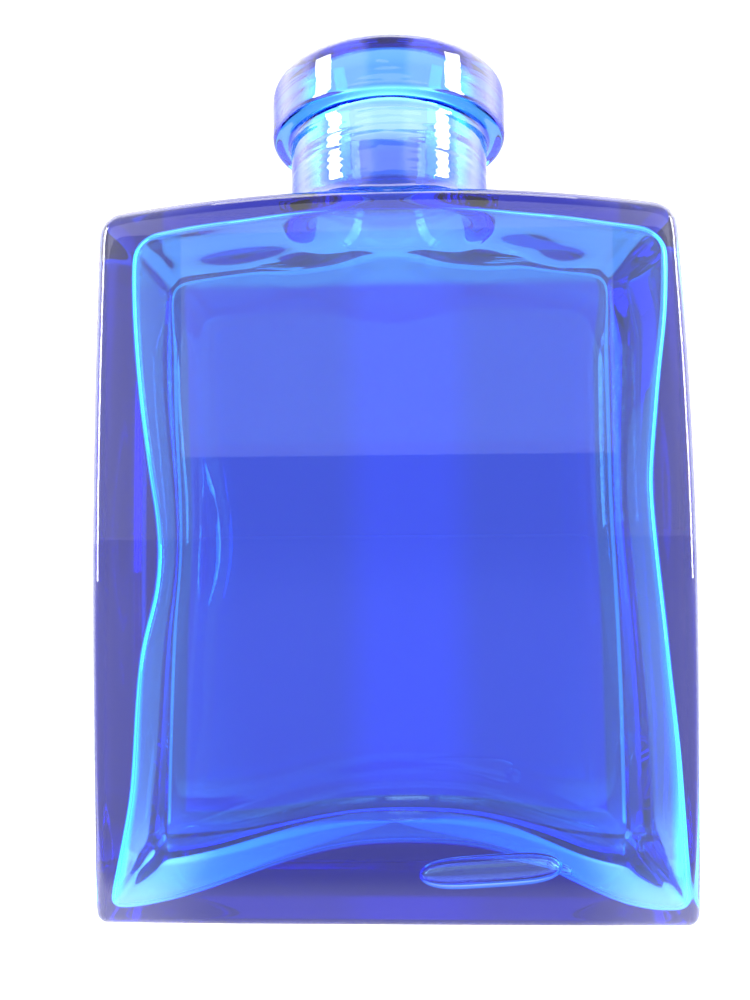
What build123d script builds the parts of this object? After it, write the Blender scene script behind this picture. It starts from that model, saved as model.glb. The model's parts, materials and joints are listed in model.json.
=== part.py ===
"""Flat rectangular glass flask with a rolled collar lip, moulded as one piece of glass.

Millimetres. The origin is the centre of the base, +Z runs up the axis of the neck to the mouth,
X is the width and Y the depth. The front face looks towards -Y and the back face towards +Y.
"""
from build123d import *
import os

# Outside of the body: a shallow barrel in front view, flat on the front and the back
BASE_HALF_WIDTH = 39.4
BELLY_HALF_WIDTH = 40.0
SHOULDER_HALF_WIDTH = 38.6
DEPTH = 33.0
BELLY_Z = 46.0
SHOULDER_CORNER_Z = 94.1
SHOULDER_CROWN_Z = 97.2
SHOULDER_CORNER_R = 3.6
BASE_CORNER_R = 1.4
FACE_EDGE_R = 1.3

# Neck and the rolled collar at the mouth, a little wider than the body is deep
NECK_R = 14.85
COLLAR_R = 17.6
COLLAR_Z = 109.8
HEIGHT = 117.6
NECK_ROOT_R = 0.8        # inside corner where the neck stands on the shoulder
COLLAR_TOP_R = 1.6
COLLAR_UNDER_R = 1.2

# Mouth: a straight bore for a cork, which narrows through a throat to the depth of the hollow
BORE_R = 10.6
BORE_END_Z = 99.0
THROAT_END_Z = 91.5
THROAT_END_R = 8.6
LIP_R = 1.0

# Inside of the body: waisted sides, a domed ceiling and a pushed-up floor
FACE_WALL = 7.5
FLOOR_HALF_WIDTH = 37.6
WAIST_HALF_WIDTH = 33.2
CEILING_HALF_WIDTH = 36.2
FLOOR_CORNER_Z = 2.0
FLOOR_CROWN_Z = 9.4
WAIST_Z = 52.0
CEILING_CORNER_Z = 91.5
CEILING_CROWN_Z = 94.8
FLOOR_CORNER_R = 2.0
CEILING_CORNER_R = 5.0
HOLLOW_EDGE_R = 2.8

# How far one form is carried into the next, so that they join without a gap
NECK_SUNK = 4.0

# Selection bands: edges are looked for this far below and above a height, and this near a cylinder
BAND = 1.0
NEAR = 0.01

os.makedirs("parts", exist_ok=True)


def front_outline(bottom, side, top, floor_crown_z, ceiling_crown_z):
    """Draws a closed front view from its right-hand points and the middles of its floor and ceiling."""
    left_bottom = (-bottom[0], bottom[1])
    left_side = (-side[0], side[1])
    left_top = (-top[0], top[1])
    ThreePointArc(bottom, side, top)
    ThreePointArc(top, (0, ceiling_crown_z), left_top)
    ThreePointArc(left_top, left_side, left_bottom)
    if floor_crown_z > bottom[1]:
        ThreePointArc(left_bottom, (0, floor_crown_z), bottom)
    else:
        Line(left_bottom, bottom)


def edges_near(part, height):
    """The edges whose middles are within a band of a height."""
    return part.edges().filter_by_position(Axis.Z, height - BAND, height + BAND)


def depth_edges(part, height):
    """The straight edges from front to back at a height."""
    return edges_near(part, height).filter_by(Axis.Y)


def rim_edges(part, height, radius):
    """The edges at a height that lie on a cylinder about the neck's axis."""
    def on_cylinder(edge):
        return all(abs(Vector(v.X, v.Y).length - radius) < NEAR for v in edge.vertices())

    return edges_near(part, height).filter_by(on_cylinder)


def face_outline_edges(part):
    """The outlines of the flat front and back faces."""
    faces = part.faces().sort_by(Axis.Y)
    return faces[0].edges() + faces[-1].edges()


# The hollow inside, with the bore standing on it
with BuildPart() as hollow:
    with BuildSketch(Plane.XZ):
        with BuildLine():
            front_outline(
                (FLOOR_HALF_WIDTH, FLOOR_CORNER_Z),
                (WAIST_HALF_WIDTH, WAIST_Z),
                (CEILING_HALF_WIDTH, CEILING_CORNER_Z),
                FLOOR_CROWN_Z,
                CEILING_CROWN_Z)
        make_face()
    extrude(amount=DEPTH / 2 - FACE_WALL, both=True)
    fillet(depth_edges(hollow, FLOOR_CORNER_Z), FLOOR_CORNER_R)
    fillet(depth_edges(hollow, CEILING_CORNER_Z), CEILING_CORNER_R)
    fillet(face_outline_edges(hollow), HOLLOW_EDGE_R)

    with BuildSketch(Plane.XY.offset(THROAT_END_Z)):
        Circle(THROAT_END_R)
    with BuildSketch(Plane.XY.offset(BORE_END_Z)):
        Circle(BORE_R)
    loft()
    with BuildSketch(Plane.XY.offset(BORE_END_Z)):
        Circle(BORE_R)
    extrude(amount=HEIGHT - BORE_END_Z)

# The glass: body, neck and collar, with the hollow taken out
with BuildPart() as bottle:
    with BuildSketch(Plane.XZ):
        with BuildLine():
            front_outline(
                (BASE_HALF_WIDTH, 0),
                (BELLY_HALF_WIDTH, BELLY_Z),
                (SHOULDER_HALF_WIDTH, SHOULDER_CORNER_Z),
                0,
                SHOULDER_CROWN_Z)
        make_face()
    extrude(amount=DEPTH / 2, both=True)
    fillet(depth_edges(bottle, SHOULDER_CORNER_Z), SHOULDER_CORNER_R)
    fillet(depth_edges(bottle, 0), BASE_CORNER_R)
    fillet(face_outline_edges(bottle), FACE_EDGE_R)

    with BuildSketch(Plane.XY.offset(SHOULDER_CROWN_Z - NECK_SUNK)):
        Circle(NECK_R)
    extrude(amount=COLLAR_Z - SHOULDER_CROWN_Z + NECK_SUNK)
    fillet(rim_edges(bottle, SHOULDER_CROWN_Z, NECK_R), NECK_ROOT_R)

    with BuildSketch(Plane.XY.offset(COLLAR_Z)):
        Circle(COLLAR_R)
    extrude(amount=HEIGHT - COLLAR_Z)
    fillet(rim_edges(bottle, COLLAR_Z, COLLAR_R), COLLAR_UNDER_R)
    fillet(rim_edges(bottle, HEIGHT, COLLAR_R), COLLAR_TOP_R)

    add(hollow.part, mode=Mode.SUBTRACT)
    fillet(rim_edges(bottle, HEIGHT, BORE_R), LIP_R)

bottle.part.label = "bottle"
export_step(bottle.part, "parts/bottle.step")
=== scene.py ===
"""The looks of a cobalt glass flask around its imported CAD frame.

The bottle stands on its base with its front face towards -Y. One mesh is the whole piece of glass:
its outside, its hollow and the air caught in it. Lengths in this file are millimetres, as in the
CAD source, and become metres where a mesh, a lamp or the camera is made.
"""
import json
import math

import bpy
from mathutils import Matrix, Vector, noise


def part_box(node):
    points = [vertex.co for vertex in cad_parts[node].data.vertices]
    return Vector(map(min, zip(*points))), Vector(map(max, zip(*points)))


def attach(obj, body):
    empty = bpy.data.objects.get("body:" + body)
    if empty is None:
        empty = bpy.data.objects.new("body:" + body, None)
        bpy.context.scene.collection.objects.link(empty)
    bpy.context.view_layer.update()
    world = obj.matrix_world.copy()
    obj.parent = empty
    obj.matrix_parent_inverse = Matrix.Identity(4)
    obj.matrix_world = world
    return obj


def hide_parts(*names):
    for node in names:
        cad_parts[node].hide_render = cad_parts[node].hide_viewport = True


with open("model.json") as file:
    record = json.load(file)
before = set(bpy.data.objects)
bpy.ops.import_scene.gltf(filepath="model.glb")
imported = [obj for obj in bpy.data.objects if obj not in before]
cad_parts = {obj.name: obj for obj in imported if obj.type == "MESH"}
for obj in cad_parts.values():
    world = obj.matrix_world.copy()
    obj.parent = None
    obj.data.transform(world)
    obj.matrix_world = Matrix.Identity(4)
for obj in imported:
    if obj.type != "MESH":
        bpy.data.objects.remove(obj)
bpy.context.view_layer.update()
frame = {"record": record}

MM = 0.001

# Sizes of the outside, read from the frame
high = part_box("bottle")[1]
mounts = {mount["name"]: mount for mount in frame["record"]["mounts"]}
HALF_WIDTH = high.x / MM
HALF_DEPTH = mounts["back_face"]["pos_m"][1] / MM
HEIGHT = high.z / MM
BORE_R = mounts["mouth_bore"]["dims"]["r_mm"]
COLLAR_R = mounts["collar"]["dims"]["r_mm"]

# Body: a rounded box that is bent into a shallow barrel with a domed shoulder
BODY_Z = 97.2                   # front edge of the shoulder, in the middle
SHOULDER_CROWN = 1.2            # how much the shoulder rises from there to the neck
DOME_DROP = 3.29                # how much lower the shoulder is at the sides
BASE_DRAW = 0.6                 # how much the half width is drawn in at the base
SHOULDER_DRAW = (1.0, 1.9)      # and at the shoulder, on the left and on the right
BELLY_Z = 44.0
FACE_EDGE_R = 1.9
SHOULDER_CORNER_R = 3.0
BASE_CORNER_R = 1.5

# Neck, collar and mouth
NECK_R = 14.85
NECK_ROOT_R = 1.5
COLLAR_Z = 109.8
GROOVE_Z = 104.2                # faint ring round the neck
COLLAR_TOP_R = 1.6
COLLAR_UNDER_R = 0.8
COLLAR_CREASE_R = 0.9           # inside corner between neck and collar
LIP_R = 2.2
BORE_END_Z = 100.5
NECK_FOOT_Z = BODY_Z + SHOULDER_CROWN + NECK_ROOT_R

# Hollow: its front wall is thinner at the shoulder than at the base
FRONT_WALL_LOW = 5.0
FRONT_WALL_HIGH = 4.6
HOLLOW_BACK_Y = 9.0
CEILING_CORNER_R = 3.8
FLOOR_CORNER_R = 2.2
FRONT_ROLL = 1.7                # radius of the edges round the hollow's front
LEFT_BACK_ROLL = 4.2            # and of those round its back, on the left, the right and above
RIGHT_BACK_ROLL = 5.6
TOP_BACK_ROLL = 1.4
TOP_BACK_Z = 84.0               # where the back edges go over to the upper one, and how soon
TOP_BACK_FADE = 8.0
FLOOR_Z = 0.8                   # the floor beside the hump
CEILING_CROWN_Z = 96.0
CEILING_DROP = 4.6              # how much lower the ceiling is at the sides
# Where the ceiling sags: x, y, reach along x and y, depth
SAGS = ((-24.0, 5.0, 6.5, 3.2, 1.3), (20.0, 2.0, 3.8, 3.0, 0.8), (26.0, 5.5, 4.5, 3.2, 1.2))
HUMP_FRONT = 8.8                # height of the pushed-up floor at the front and at the back
HUMP_BACK = 7.2
HUMP_X = 1.0
HUMP_REACH = (38.0, 33.0)       # how far the hump runs out to the left and to the right
HUMP_POWER = (1.15, 1.6)        # and how flat its top is there

# The hollow's side walls as the glass settled in the mould: half widths by height
LEFT_FRONT = ((0, 39.0), (5, 38.0), (10, 37.0), (16, 35.9), (29, 35.1), (36, 34.3), (42, 32.5),
              (48, 32.0), (53, 32.4), (59, 33.4), (70, 34.8), (84, 35.7), (96, 35.3))
LEFT_BACK = ((0, 38.4), (16, 37.4), (34, 36.2), (47, 34.9), (57, 34.9), (73, 36.0), (96, 36.0))
RIGHT_FRONT = ((0, 39.3), (8, 39.1), (16, 38.8), (23, 38.4), (31, 37.6), (39, 36.9), (47, 36.1),
               (57, 35.4), (63, 35.9), (72, 36.8), (80, 37.8), (88, 38.0), (96, 37.6))
RIGHT_BACK = ((0, 38.4), (17, 37.6), (34, 36.8), (50, 35.7), (59, 35.4), (72, 35.2), (88, 35.1),
              (96, 35.0))

# Throat: the bore narrows to the hollow's depth, and the two melt into each other
THROAT_R = 8.4
THROAT_LOW_Z = 90.0
THROAT_START_R = 7.4            # the first rings in the hollow, before the throat settles
THROAT_START_Z = 96.0
THROAT_MELT = 6.0
THROAT_BACK_R = 4.5             # radius of the hollow's upper back edge near the throat
THROAT_REACH = 21.0             # what is settled around the axis, and over how much it fades out
THROAT_FADE = 6.0

# Mesh spacing: distances from a corner of the body to the first columns and rows
CORNER_STEPS = (0.0, 0.35, 0.8, 1.35, 2.1, 3.2, 5.0)
LONG_INNER = 18                 # even steps along the width and the depth
SHORT_INNER = 6
BODY_ROWS = 25
NECK_ROWS = 42
COLLAR_ROWS = 14
BORE_ROWS = 10
ROOT_ROWS = 4
THROAT_ROWS = 5
SETTLED_WALL_ROWS = 11          # rows of the hollow's wall that settle with the throat
SETTLING_ROUNDS = 40
# Shares of the way from the rectangle of the shoulder to the circle of the neck
SHARES = (0.017, 0.038, 0.065, 0.1, 0.15, 0.22, 0.3, 0.4, 0.5, 0.6, 0.7, 0.8, 0.87, 0.94, 1.0)


def smooth(t):
    """0 to 1, with flat ends."""
    t = min(max(t, 0.0), 1.0)
    return t * t * (3 - 2 * t)


def blend(a, b, t):
    """From a at 0 to b at 1, in proportion."""
    return a + (b - a) * t


def through(knots, t):
    """A smooth curve through (t, value) knots, level at neither end."""
    if t <= knots[0][0]:
        return knots[0][1]
    for i in range(len(knots) - 1):
        (t1, v1), (t2, v2) = knots[i], knots[i + 1]
        if t <= t2:
            t0, v0 = knots[max(i - 1, 0)]
            t3, v3 = knots[min(i + 2, len(knots) - 1)]
            span = t2 - t1
            slope1 = (v2 - v0) / (t2 - t0)
            slope2 = (v3 - v1) / (t3 - t1)
            u = (t - t1) / span
            h00 = (1 + 2 * u) * (1 - u) ** 2
            h10 = u * (1 - u) ** 2
            h01 = u * u * (3 - 2 * u)
            h11 = u * u * (u - 1)
            return h00 * v1 + h10 * span * slope1 + h01 * v2 + h11 * span * slope2
    return knots[-1][1]


def stations(half, inner_count):
    """Places from -half to half: close together at both ends, then evenly spaced."""
    inner = half - CORNER_STEPS[-1]
    left = [-half + d for d in CORNER_STEPS]
    middle = [-inner + 2 * inner * i / inner_count for i in range(1, inner_count)]
    return left + middle + [-x for x in reversed(left)]


LONG_COUNT = len(stations(HALF_WIDTH, LONG_INNER)) - 1
SHORT_COUNT = len(stations(HALF_DEPTH, SHORT_INNER)) - 1
COLUMNS = 2 * (LONG_COUNT + SHORT_COUNT)


def rectangle(half_x, half_y):
    """(x, y) around a sharp rectangle, from the front left corner, seen from above turning left."""
    xs = stations(half_x, LONG_INNER)
    ys = stations(half_y, SHORT_INNER)
    front = [(x, -half_y) for x in xs[:-1]]
    right = [(half_x, y) for y in ys[:-1]]
    back = [(-x, half_y) for x in xs[:-1]]
    left = [(-half_x, -y) for y in ys[:-1]]
    return front + right + back + left


def circle(radius):
    """(x, y) around a circle, column for column beside the rectangle's."""
    step = 2 * math.pi / COLUMNS
    angles = [-math.pi / 2 + (k - LONG_COUNT / 2) * step for k in range(COLUMNS)]
    return [(radius * math.cos(a), radius * math.sin(a)) for a in angles]


def rounded(point, half_x, half_y, height, corners, roll):
    """Moves a point of a sharp box onto the box with rounded edges.

    corners are the radii of the lower and upper corners in front view, and roll that of the edges
    round the front and back faces."""
    x, y, z = point
    upper = z > height / 2
    corner = max(corners[upper], roll)
    from_x = abs(x) - (half_x - corner)
    from_z = (z - (height - corner)) if upper else (corner - z)
    if from_x > 0 and from_z > 0:
        reach = math.hypot(from_x, from_z)
        pull = min(1.0, (corner - roll) / reach)
        core_x = half_x - corner + from_x * pull
        core_z = corner - from_z * pull
        if upper:
            core_z = height - core_z
    else:
        core_x = min(abs(x), half_x - roll)
        core_z = min(max(z, roll), height - roll)
    core_x = math.copysign(core_x, x)
    core_y = math.copysign(min(abs(y), half_y - roll), y)
    core = Vector((core_x, core_y, core_z))
    out = Vector(point) - core
    return core + out.normalized() * roll


def outside(point):
    """Bends a point of the rounded box into the body's barrel and domed shoulder."""
    x, y, z = rounded(point, HALF_WIDTH, HALF_DEPTH, BODY_Z,
                      (BASE_CORNER_R, SHOULDER_CORNER_R), FACE_EDGE_R)
    draw = BASE_DRAW if z < BELLY_Z else SHOULDER_DRAW[x > 0]
    span = BELLY_Z if z < BELLY_Z else BODY_Z - BELLY_Z
    x *= 1 - draw / HALF_WIDTH * ((z - BELLY_Z) / span) ** 2
    lift = SHOULDER_CROWN * (1 - (y / HALF_DEPTH) ** 2) - DOME_DROP * (x / HALF_WIDTH) ** 2
    return Vector((x, y, z * (1 + lift / BODY_Z)))


def front_y(z):
    """The hollow's front wall at a height."""
    return -HALF_DEPTH + blend(FRONT_WALL_LOW, FRONT_WALL_HIGH, smooth(z / BODY_Z))


def floor_z(x, depth):
    """The hollow's floor at a depth from 0 at its front to 1 at its back: a hump in the middle."""
    right = x > HUMP_X
    across = min(abs(x - HUMP_X) / HUMP_REACH[right], 1.0)
    return FLOOR_Z + blend(HUMP_FRONT, HUMP_BACK, depth) * (1 - smooth(across ** HUMP_POWER[right]))


def ceiling_z(x, y):
    """The hollow's ceiling, a little uneven."""
    lump = 0.2 * noise.noise(Vector((x / 9, y / 7, 0.4)))
    for sag_x, sag_y, half_x, half_y, sag in SAGS:
        lump -= sag * math.exp(-((x - sag_x) / half_x) ** 2 - ((y - sag_y) / half_y) ** 2)
    return CEILING_CROWN_Z - CEILING_DROP * (x / HALF_WIDTH) ** 2 + lump


def inside(point):
    """Bends a point of the hollow's rounded box to its uneven walls, floor and ceiling.

    The box is as wide, deep and high as the body, so that its columns and rows match the outside's.
    """
    half_depth = HOLLOW_BACK_Y
    to_right = smooth(0.5 + point[0] / HALF_WIDTH / 2)
    to_back = smooth(0.5 + point[1] / half_depth)
    back_roll = blend(LEFT_BACK_ROLL, RIGHT_BACK_ROLL, to_right)
    to_top = smooth((point[2] - TOP_BACK_Z) / TOP_BACK_FADE)
    back_roll = blend(back_roll, TOP_BACK_ROLL, to_top)
    roll = blend(FRONT_ROLL, back_roll, to_back)
    x, y, z = rounded(point, HALF_WIDTH, half_depth, BODY_Z,
                      (FLOOR_CORNER_R, CEILING_CORNER_R), roll)
    depth = 0.5 + y / half_depth / 2
    y = blend(front_y(z), HOLLOW_BACK_Y, depth)
    height = blend(floor_z(x, depth), ceiling_z(x, y), z / BODY_Z)
    front, back = (LEFT_FRONT, LEFT_BACK) if x < 0 else (RIGHT_FRONT, RIGHT_BACK)
    x *= blend(through(front, height), through(back, height), depth) / HALF_WIDTH
    height = blend(floor_z(x, depth), ceiling_z(x, y), z / BODY_Z)
    return Vector((x, y, height))


class Surface:
    """Vertices and quads of a mesh, gathered ring by ring."""

    def __init__(self):
        self.points = []
        self.faces = []

    def add(self, points):
        start = len(self.points)
        self.points += [Vector(p) for p in points]
        return list(range(start, len(self.points)))

    def bridge(self, lower, upper):
        """Quads between two rings of the same count.

        They face away from the axis where the rings climb, and towards it where they go down."""
        count = len(lower)
        for k in range(count):
            j = (k + 1) % count
            self.faces.append((lower[k], lower[j], upper[j], upper[k]))

    def rings(self, first, ring_points):
        """A run of rings on from the ring first. Returns the last one."""
        last = first
        for points in ring_points:
            ring = self.add(points)
            self.bridge(last, ring)
            last = ring
        return last

    def fill(self, ring, place, half_x, half_y, facing_up):
        """Closes a rectangle's ring with a grid whose inner points come from place(x, y)."""
        xs = stations(half_x, LONG_INNER)
        ys = stations(half_y, SHORT_INNER)
        nx, ny = len(xs) - 1, len(ys) - 1
        grid = {}
        for k, vertex in enumerate(ring):
            if k < nx:
                grid[k, 0] = vertex
            elif k < nx + ny:
                grid[nx, k - nx] = vertex
            elif k < 2 * nx + ny:
                grid[nx - (k - nx - ny), ny] = vertex
            else:
                grid[0, ny - (k - 2 * nx - ny)] = vertex
        for i in range(1, nx):
            for j in range(1, ny):
                grid[i, j] = self.add([place(xs[i], ys[j])])[0]
        for i in range(nx):
            for j in range(ny):
                quad = (grid[i, j], grid[i + 1, j], grid[i + 1, j + 1], grid[i, j + 1])
                self.faces.append(quad if facing_up else quad[::-1])


def shrinking_rings(radius, half_y, shares):
    """Rings from the body's rectangle in to a circle about the neck."""
    outer = rectangle(HALF_WIDTH, half_y)
    inner = circle(radius)
    for share in shares:
        yield [(blend(ox, ix, share), blend(oy, iy, share))
               for (ox, oy), (ix, iy) in zip(outer, inner)]


def wall_heights():
    """Row heights up the wall of a box, close together at both ends."""
    inner_low = CORNER_STEPS[-1]
    inner_high = BODY_Z - CORNER_STEPS[-1]
    middle = [blend(inner_low, inner_high, i / BODY_ROWS) for i in range(1, BODY_ROWS)]
    return list(CORNER_STEPS) + middle + [BODY_Z - d for d in reversed(CORNER_STEPS)]


def arc(centre_r, centre_z, radius, start, end, steps):
    """(radius, height) along a quarter turn in the section through the axis."""
    out = []
    for i in range(1, steps + 1):
        a = math.radians(blend(start, end, i / steps))
        out.append((centre_r + radius * math.cos(a), centre_z + radius * math.sin(a)))
    return out


def neck_ripple(angle, z):
    """Drawn ripples round the neck and collar, stronger in some places."""
    fine = math.sin(z * 6.3 + 1.5 * math.sin(angle * 2 + 1.0))
    slow = math.sin(z * 1.9 + 1.7 * math.sin(angle + 0.6))
    patch = noise.noise(Vector((angle * 1.6, z * 0.35, 2.0)))
    chatter = noise.noise(Vector((angle * 7, z * 1.3, 5.0)))
    groove = math.exp(-((z - GROOVE_Z - 0.3 * math.sin(angle * 2)) / 0.45) ** 2)
    return 0.011 * fine * (1 + 1.5 * patch) + 0.02 * slow * patch + 0.03 * chatter - 0.07 * groove


def neck_section():
    """(radius, height, ripple) up the outside of neck and collar, over the lip and down the bore.

    ripple is 1 where the surface ripples both ways, -1 where it may only go inwards, and else 0."""
    neck_top = COLLAR_Z - COLLAR_CREASE_R
    steps = range(1, NECK_ROWS + 1)
    rows = [(NECK_R, blend(NECK_FOOT_Z, neck_top, i / NECK_ROWS), 1) for i in steps]

    crease_r = NECK_R + COLLAR_CREASE_R
    under_r = COLLAR_R - COLLAR_UNDER_R
    collar_low = COLLAR_Z + COLLAR_UNDER_R
    crease = arc(crease_r, neck_top, COLLAR_CREASE_R, 180, 90, 3)
    crease += [(blend(crease_r, under_r, t), COLLAR_Z) for t in (0.35, 0.8)]
    crease += arc(under_r, collar_low, COLLAR_UNDER_R, -90, 0, 5)
    rows += [(radius, z, 0) for radius, z in crease]

    collar_high = HEIGHT - COLLAR_TOP_R
    steps = range(1, COLLAR_ROWS)
    rows += [(COLLAR_R, blend(collar_low, collar_high, i / COLLAR_ROWS), -1) for i in steps]

    top_out = COLLAR_R - COLLAR_TOP_R
    top_in = BORE_R + LIP_R
    bore_top = HEIGHT - LIP_R
    rim = arc(top_out, collar_high, COLLAR_TOP_R, 0, 90, 6)
    rim += [(blend(top_out, top_in, t), HEIGHT) for t in (0.12, 0.5, 0.88)]
    rim += arc(top_in, bore_top, LIP_R, 90, 180, 5)
    steps = range(1, BORE_ROWS + 1)
    rim += [(BORE_R, blend(bore_top, BORE_END_Z, i / BORE_ROWS)) for i in steps]
    rows += [(radius, z, 0) for radius, z in rim]
    return rows


def throat_distance(point):
    """How far a point is outside the melted join of bore and hollow. Negative is in the air."""
    x, y, z = point
    roll = THROAT_BACK_R if y > 0 else FRONT_ROLL
    wall = y - HOLLOW_BACK_Y if y > 0 else front_y(z) - y
    out_y = wall + roll
    out_z = z - ceiling_z(x, y) + roll
    hollow = math.hypot(max(out_y, 0), max(out_z, 0)) + min(max(out_y, out_z), 0) - roll
    narrow = smooth((BORE_END_Z - z) / (BORE_END_Z - THROAT_LOW_Z))
    bore = math.hypot(x, y) - blend(BORE_R, THROAT_R, narrow) + max(THROAT_LOW_Z - z, 0)
    near = max(THROAT_MELT - abs(hollow - bore), 0) / THROAT_MELT
    return min(hollow, bore) - near * near * THROAT_MELT / 4


def melt_throat(surface, first, last, rounds):
    """Settles a stretch of vertices onto the melted join, evenly spaced."""
    neighbours = {v: set() for v in range(first, last)}
    for face in surface.faces:
        for i, v in enumerate(face):
            if first <= v < last:
                neighbours[v].update((face[i - 1], face[(i + 1) % len(face)]))
    nudge = 0.02
    steps = (Vector((nudge, 0, 0)), Vector((0, nudge, 0)), Vector((0, 0, nudge)))
    for _ in range(rounds):
        moved = {}
        for v, ring in neighbours.items():
            point = surface.points[v]
            weight = smooth((THROAT_REACH - math.hypot(point.x, point.y)) / THROAT_FADE)
            if weight == 0:
                continue
            mean = sum((surface.points[n] for n in ring), Vector()) / len(ring)
            goal = point.lerp(mean, 0.5)
            for _ in range(2):
                away = throat_distance(goal)
                slope = Vector([(throat_distance(goal + s) - away) / nudge for s in steps])
                goal = goal - slope * (away / max(slope.length_squared, 0.2))
            moved[v] = point.lerp(goal, weight)
        for v, point in moved.items():
            surface.points[v] = point


def bottle_surface():
    """The closed surface of the glass, and how many of its vertices, from the first, are outside."""
    surface = Surface()
    heights = wall_heights()
    base = rectangle(HALF_WIDTH, HALF_DEPTH)
    first = surface.add([outside((x, y, 0.0)) for x, y in base])
    surface.fill(first, lambda x, y: outside((x, y, 0.0)), HALF_WIDTH, HALF_DEPTH, False)
    ring = surface.rings(first, ([outside((x, y, z)) for x, y in base] for z in heights[1:]))

    # Shoulder, neck root, neck and collar
    root = NECK_R + NECK_ROOT_R
    ring = surface.rings(ring, ([outside((x, y, BODY_Z)) for x, y in flat]
                                for flat in shrinking_rings(root, HALF_DEPTH, SHARES)))
    edge = [surface.points[v].copy() for v in ring]
    root_rings = []
    for i in range(1, ROOT_ROWS + 1):
        turn = math.radians(90 * i / ROOT_ROWS)
        lift = 1 - math.cos(turn)
        radius = NECK_R + NECK_ROOT_R * (1 - math.sin(turn))
        root_rings.append([(x, y, blend(p.z, NECK_FOOT_Z, lift))
                           for (x, y), p in zip(circle(radius), edge)])
    ring = surface.rings(ring, root_rings)
    neck_rings = []
    for radius, z, ripple in neck_section():
        points = []
        for x, y in circle(1.0):
            swell = ripple * neck_ripple(math.atan2(y, x), z)
            if ripple < 0:
                swell = min(swell, 0.0)
            points.append(((radius + swell) * x, (radius + swell) * y, z))
        neck_rings.append(points)
    ring = surface.rings(ring, neck_rings)
    outer_count = len(surface.points)

    # Throat, ceiling, walls and floor of the hollow
    throat_rings = []
    for i in range(1, THROAT_ROWS + 1):
        radius = blend(BORE_R, THROAT_START_R, i / THROAT_ROWS)
        z = blend(BORE_END_Z, THROAT_START_Z, i / THROAT_ROWS)
        throat_rings.append([(x, y, z) for x, y in circle(radius)])
    ring = surface.rings(ring, throat_rings)
    ceiling = list(shrinking_rings(THROAT_START_R, HOLLOW_BACK_Y, (0.0,) + SHARES[:-1]))
    ring = surface.rings(ring, ([inside((x, y, BODY_Z)) for x, y in flat]
                                for flat in reversed(ceiling)))
    hollow = rectangle(HALF_WIDTH, HOLLOW_BACK_Y)
    ring = surface.rings(ring, ([inside((x, y, z)) for x, y in hollow]
                                for z in reversed(heights[:-1])))
    surface.fill(ring, lambda x, y: inside((x, y, 0.0)), HALF_WIDTH, HOLLOW_BACK_Y, True)
    settled_rows = THROAT_ROWS + len(SHARES) + SETTLED_WALL_ROWS
    melt_throat(surface, outer_count, outer_count + settled_rows * COLUMNS, SETTLING_ROUNDS)
    return surface, outer_count


def air(surface, centre, halves, tilt, power, columns, rows):
    """Adds a closed pocket of air in the glass: its faces look into the pocket."""
    turn = Matrix.Rotation(math.radians(tilt), 3, "Y")

    def bulge(value):
        return math.copysign(abs(value) ** power, value)

    rings = []
    for r in range(1, rows):
        polar = math.pi * r / rows
        ring = []
        for c in range(columns):
            around = 2 * math.pi * c / columns
            unit = Vector((bulge(-math.cos(polar)),
                           math.sin(polar) * math.cos(around),
                           math.sin(polar) * math.sin(around)))
            ring.append(Vector(centre) + turn @ Vector(u * h for u, h in zip(unit, halves)))
        rings.append(ring)
    first = surface.add(rings[0])
    last = first
    for ring in rings[1:]:
        current = surface.add(ring)
        surface.bridge(current, last)
        last = current
    ends = []
    for side, ring in ((-1, first), (1, last)):
        tip = Vector(centre) + turn @ Vector((side * halves[0], 0, 0))
        ends.append((surface.add([tip])[0], ring))
    for tip, ring in ends:
        for c in range(columns):
            triangle = (ring[c], ring[(c + 1) % columns], tip)
            surface.faces.append(triangle if tip == ends[0][0] else triangle[::-1])


# Painted shade on the outside of the glass, by zone, set as its colour. It darkens the light that
# crosses it, and so stands in for the second pass through the glass that light from a surface right
# behind it makes, and for the shade and shadow that the bottle casts on that surface
CLEAR = (1, 1, 1, 1)
FIELD_SIDE_SHADE = (0.0001, 0.0015, 0.37, 1)
FIELD_MIDDLE_SHADE = (0.0001, 0.002, 0.66, 1)
BACK_BORDER_SHADE = (0.002, 0.008, 0.13, 1)
BACK_EDGE_SHADE = (0.32, 0.66, 1.0, 1)
BACK_TOP_SHADE = (0.10, 0.26, 0.55, 1)
SIDE_FRONT_SHADE = (0.02, 0.52, 1.0, 1)
SIDE_DEEP_SHADE = (0.10, 0.09, 0.30, 1)
SHOULDER_SHADE = (0.36, 0.52, 0.95, 1)
SHOULDER_FRONT_SHADE = (0.03, 0.14, 0.55, 1)
SHOULDER_MIDDLE_SHADE = (0.004, 0.012, 0.22, 1)
NECK_SHADE = (0.36, 0.38, 0.95, 1)
COLLAR_SHADE = (0.55, 0.70, 1.0, 1)
BASE_MIDDLE_SHADE = (0.02, 0.13, 0.85, 1)
BASE_CORNERS_SHADE = (0.24, 0.46, 1.0, 1)
PAINTED_BASE_FRINGE = (0.6, 0.05, 0.35, 1)
LIT_STRIPE_X = 2.5                   # middle of the field's lighter stripe of painted light, where the painted shade is weaker


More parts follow.
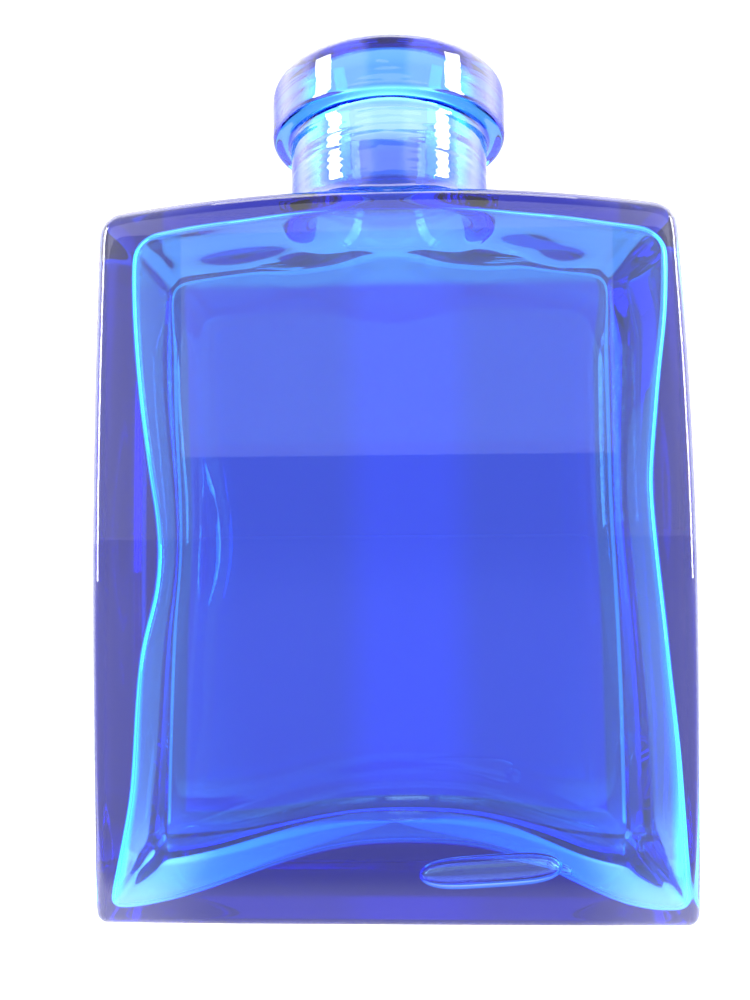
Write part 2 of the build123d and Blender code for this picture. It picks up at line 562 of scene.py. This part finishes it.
class Shading:
    """Small steps of a material or world in which colours and levels vary with the place."""

    def __init__(self, tree):
        self.nodes = tree.nodes
        self.links = tree.links

    def place(self, output):
        """X, Y and Z of a texture coordinate, each as an output."""
        coordinates = self.nodes.new("ShaderNodeTexCoord")
        axes = self.nodes.new("ShaderNodeSeparateXYZ")
        self.links.new(coordinates.outputs[output], axes.inputs["Vector"])
        return axes.outputs["X"], axes.outputs["Y"], axes.outputs["Z"]

    def math(self, operation, *values):
        """An output with a sum, product or the like of outputs and numbers."""
        node = self.nodes.new("ShaderNodeMath")
        node.operation = operation
        for socket, value in zip(node.inputs, values):
            if isinstance(value, (int, float)):
                socket.default_value = value
            else:
                self.links.new(value, socket)
        return node.outputs["Value"]

    def ramp(self, value, start, end, low=0.0, high=1.0):
        """An output that goes smoothly from low to high as value goes from start to end."""
        node = self.nodes.new("ShaderNodeMapRange")
        node.interpolation_type = "SMOOTHSTEP"
        for name, number in (("From Min", start), ("From Max", end), ("To Min", low), ("To Max", high)):
            node.inputs[name].default_value = number
        self.links.new(value, node.inputs["Value"])
        return node.outputs["Result"]

    def mix(self, share, first, second):
        """An output between two colours, each a colour or an output."""
        node = self.nodes.new("ShaderNodeMix")
        node.data_type = "RGBA"
        self.links.new(share, node.inputs["Factor"])
        sockets = [socket for socket in node.inputs if socket.type == "RGBA"]
        for socket, colour in zip(sockets, (first, second)):
            if isinstance(colour, tuple):
                socket.default_value = colour
            else:
                self.links.new(colour, socket)
        return [socket for socket in node.outputs if socket.type == "RGBA"][0]


def painted_light_and_shade(shading):
    """Painted shade and light as the colour of the outside of the glass, by place."""
    x, y, z = shading.place("Object")
    across = shading.math("ABSOLUTE", x)
    off_lit_stripe = shading.math("ABSOLUTE", shading.math("SUBTRACT", x, LIT_STRIPE_X * MM))

    def zone(value, start, end):
        """An output that goes smoothly from 0 to 1 between two places in millimetres."""
        return shading.ramp(value, start * MM, end * MM)

    # Back face, painted shade: the field behind the hollow, its darker border and the lighter rounded
    # edges around it
    back = shading.mix(zone(off_lit_stripe, 4.5, 13.0), FIELD_MIDDLE_SHADE, FIELD_SIDE_SHADE)
    back = shading.mix(zone(z, 92.0, 94.0), back, BACK_TOP_SHADE)
    back = shading.mix(zone(z, 5.5, 4.6), back, BACK_BORDER_SHADE)
    back = shading.mix(zone(across, 34.3, 35.3), back, BACK_BORDER_SHADE)
    edges = shading.math("MULTIPLY", zone(y, 16.35, 16.1), zone(z, 2.6, 4.0))
    back = shading.mix(edges, back, BACK_EDGE_SHADE)

    # Front and sides, then up over the shoulder to the mouth: painted shade, deeper towards the back of
    # the sides and in the middle of the shoulder's front
    side = shading.mix(zone(y, -7.5, -3.5), SIDE_FRONT_SHADE, SIDE_DEEP_SHADE)
    front = shading.mix(zone(across, 9.0, 6.0), SHOULDER_FRONT_SHADE, SHOULDER_MIDDLE_SHADE)
    shoulder = shading.mix(zone(y, -6.0, -9.0), SHOULDER_SHADE, front)
    colour = shading.mix(zone(across, 37.2, 38.0), CLEAR, side)
    colour = shading.mix(zone(z, 92.6, 94.0), colour, shoulder)
    colour = shading.mix(zone(z, 99.0, 99.8), colour, NECK_SHADE)
    colour = shading.mix(zone(z, 104.0, 107.0), colour, CLEAR)
    colour = shading.mix(zone(z, 109.9, 110.4), colour, COLLAR_SHADE)
    colour = shading.mix(zone(z, 115.0, 116.5), colour, CLEAR)

    # Base: painted shade of the contact beneath it, lighter towards the corners, and a painted purple
    # fringe of light along its front edge
    base = shading.mix(zone(across, 26.0, 35.0), BASE_MIDDLE_SHADE, BASE_CORNERS_SHADE)
    base = shading.mix(zone(y, -14.6, -15.4), base, PAINTED_BASE_FRINGE)
    colour = shading.mix(zone(z, 1.2, 0.2), colour, base)

    at_back = shading.math("MULTIPLY", zone(y, 14.4, 15.0), zone(z, 97.6, 96.6))
    return shading.mix(at_back, colour, back)


def make_piece(name, surface, outer_count, material):
    """Makes an object of a surface and marks its first vertices, the outside, in a colour layer."""
    mesh = bpy.data.meshes.new(name)
    mesh.from_pydata([p * MM for p in surface.points], [], surface.faces)
    mesh.update()
    for polygon in mesh.polygons:
        polygon.use_smooth = True
    outer = mesh.color_attributes.new("outer", "FLOAT_COLOR", "POINT")
    for v in range(len(surface.points)):
        share = 1.0 if v < outer_count else 0.0
        outer.data[v].color = (share, share, share, 1.0)
    mesh.materials.append(material)
    piece = bpy.data.objects.new(name, mesh)
    bpy.context.scene.collection.objects.link(piece)
    return piece


def cobalt_glass():
    """Clear cobalt glass: colour from the depth of glass that light crosses, with painted shade and
    light on its outside.
    """
    material = bpy.data.materials.new("cobalt_glass")
    material.use_nodes = True
    nodes = material.node_tree.nodes
    shading = Shading(material.node_tree)
    shader = nodes["Principled BSDF"]
    shader.inputs["Roughness"].default_value = 0.0
    shader.inputs["IOR"].default_value = 1.52
    shader.inputs["Transmission Weight"].default_value = 1.0
    # Base colour: painted shade and light on the outside of the glass, plain white on the hollow and
    # the air
    outer = nodes.new("ShaderNodeVertexColor")
    outer.layer_name = "outer"
    colour = shading.mix(outer.outputs["Color"], CLEAR, painted_light_and_shade(shading))
    shading.links.new(colour, shader.inputs["Base Color"])
    depth = nodes.new("ShaderNodeVolumeAbsorption")
    depth.inputs["Color"].default_value = (0.036, 0.614, 0.946, 1)
    depth.inputs["Density"].default_value = 280.0
    shading.links.new(depth.outputs["Volume"], nodes["Material Output"].inputs["Volume"])
    return material


BACKDROP = 1.28                 # brightness behind the bottle, and of the room around it
ROOM = 1.3
BOUNCES = 32                    # light turns back many times on its way through thick glass
CAMERA_X = 0.985
CAMERA_Z = 52.287
CAMERA_DISTANCE = 104.646       # in front of the front face
CAMERA_TURNS = (1.687, 1.757, 0.508)    # degrees to the left, up and over to the side


def surroundings(shading, ahead, across):
    """The brightness of a direction: even behind the bottle, brighter to both sides of the camera.

    ahead and across are the direction's shares away from the camera and to either side."""
    beside = shading.ramp(across, 0.2, 0.36, 0.0, 2.0)
    aside = shading.ramp(ahead, -0.30, -0.05, 0.0, 2.5)
    room = shading.math("ADD", shading.math("ADD", beside, aside), ROOM - BACKDROP)
    return shading.math("MULTIPLY_ADD", room, shading.ramp(ahead, 0.75, 0.3), BACKDROP)


def studio():
    """White surroundings on all sides."""
    world = bpy.data.worlds.new("studio")
    world.use_nodes = True
    nodes = world.node_tree.nodes
    shading = Shading(world.node_tree)
    x, y = shading.place("Generated")[:2]
    background = nodes["Background"]
    background.inputs["Color"].default_value = (1, 1, 1, 1)
    level = surroundings(shading, y, shading.math("ABSOLUTE", x))
    shading.links.new(level, background.inputs["Strength"])
    bpy.context.scene.world = world


def softbox(name, place, target, size, radiance):
    """A rectangular studio lamp that the camera doesn't see itself."""
    data = bpy.data.lights.new(name, "AREA")
    data.shape = "RECTANGLE"
    data.size = size[0] * MM
    data.size_y = size[1] * MM
    data.energy = radiance * math.pi * data.size * data.size_y
    lamp = bpy.data.objects.new(name, data)
    lamp.location = Vector(place) * MM
    direction = Vector(target) - Vector(place)
    lamp.rotation_euler = direction.to_track_quat("-Z", "Y").to_euler()
    lamp.visible_camera = False
    bpy.context.scene.collection.objects.link(lamp)


def camera():
    """Close in front of the bottle, level with the middle of its body."""
    data = bpy.data.cameras.new("camera")
    data.sensor_fit = "VERTICAL"
    data.sensor_height = 36.0
    data.lens = 28.8
    data.clip_start = 0.005
    data.clip_end = 100
    cam = bpy.data.objects.new("camera", data)
    yaw, pitch, roll = (math.radians(angle) for angle in CAMERA_TURNS)
    aim = Matrix.Rotation(yaw, 4, "Z") @ Matrix.Rotation(pitch, 4, "X") @ Matrix.Rotation(roll, 4, "Y")
    look = Matrix.Rotation(math.radians(90), 4, "X")
    place = Vector((CAMERA_X, -HALF_DEPTH - CAMERA_DISTANCE, CAMERA_Z))
    cam.matrix_world = Matrix.Translation(place * MM) @ aim @ look
    bpy.context.scene.collection.objects.link(cam)
    bpy.context.scene.camera = cam


def floor():
    """A plain white tabletop, mostly lit from within like a light table, as bright as the backdrop."""
    half = 3.0
    corners = [(-half, -half, 0), (half, -half, 0), (half, half, 0), (-half, half, 0)]
    mesh = bpy.data.meshes.new("floor")
    mesh.from_pydata(corners, [], [(0, 1, 2, 3)])
    mesh.update()
    material = bpy.data.materials.new("tabletop")
    material.use_nodes = True
    shading = Shading(material.node_tree)
    x, raw_y = shading.place("Object")[:2]
    # Close to the bottle, from its front face on, the direction counts as one towards the camera
    y = shading.math("ADD", raw_y, shading.ramp(raw_y, 0.01, -0.02, 0.0, -0.09))
    square = shading.math("MULTIPLY_ADD", y, y, shading.math("MULTIPLY", x, x))
    reach = shading.math("ADD", shading.math("SQRT", square), 0.001)
    ahead = shading.math("DIVIDE", y, reach)
    across = shading.math("DIVIDE", shading.math("ABSOLUTE", x), reach)
    level = surroundings(shading, ahead, across)
    shader = material.node_tree.nodes["Principled BSDF"]
    shader.inputs["Base Color"].default_value = (0.12, 0.12, 0.12, 1)
    shader.inputs["Roughness"].default_value = 0.8
    shader.inputs["Specular IOR Level"].default_value = 0.0
    shader.inputs["Emission Color"].default_value = (1, 1, 1, 1)
    # A brighter strip under the front edge of the base and a little in front of it
    at_base = shading.math("MULTIPLY", shading.ramp(raw_y, -0.034, -0.024),
                           shading.ramp(raw_y, -0.012, -0.016))
    share = shading.math("ADD", at_base, 0.7)
    shading.links.new(shading.math("MULTIPLY", level, share), shader.inputs["Emission Strength"])
    mesh.materials.append(material)
    top = bpy.data.objects.new("floor", mesh)
    top.location = (0, 0, -0.0001)
    bpy.context.scene.collection.objects.link(top)


bpy.context.scene.view_settings.view_transform = "Standard"
camera()
studio()
floor()
softbox("left_window", (-630, -320, 250), (0, 0, 100), (200, 560), 24.0)
softbox("right_window", (630, -310, 250), (0, 0, 100), (200, 560), 24.0)
softbox("front_softbox", (0, -600, 210), (0, 0, 210), (375, 196), 1.0)
softbox("high_softbox", (0, -600, 378), (0, 0, 378), (900, 140), 1.9)
softbox("top_softbox", (0, -150, 900), (0, 0, 50), (500, 300), 5.0)
bpy.context.scene.cycles.max_bounces = BOUNCES
bpy.context.scene.cycles.transmission_bounces = BOUNCES
bpy.context.scene.cycles.glossy_bounces = BOUNCES

glass_surface, outer_points = bottle_surface()
air(glass_surface, (12.6, -13.3, 6.8), (9.4, 1.15, 2.2), -4, 0.5, 20, 20)
air(glass_surface, (21.8, -12.4, 6.9), (1.7, 0.5, 0.7), 20, 0.8, 10, 10)
glass = make_piece("bottle_glass", glass_surface, outer_points, cobalt_glass())
subdivision = glass.modifiers.new("smooth", "SUBSURF")
subdivision.levels = 1
subdivision.render_levels = 1
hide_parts("bottle")
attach(glass, "root")
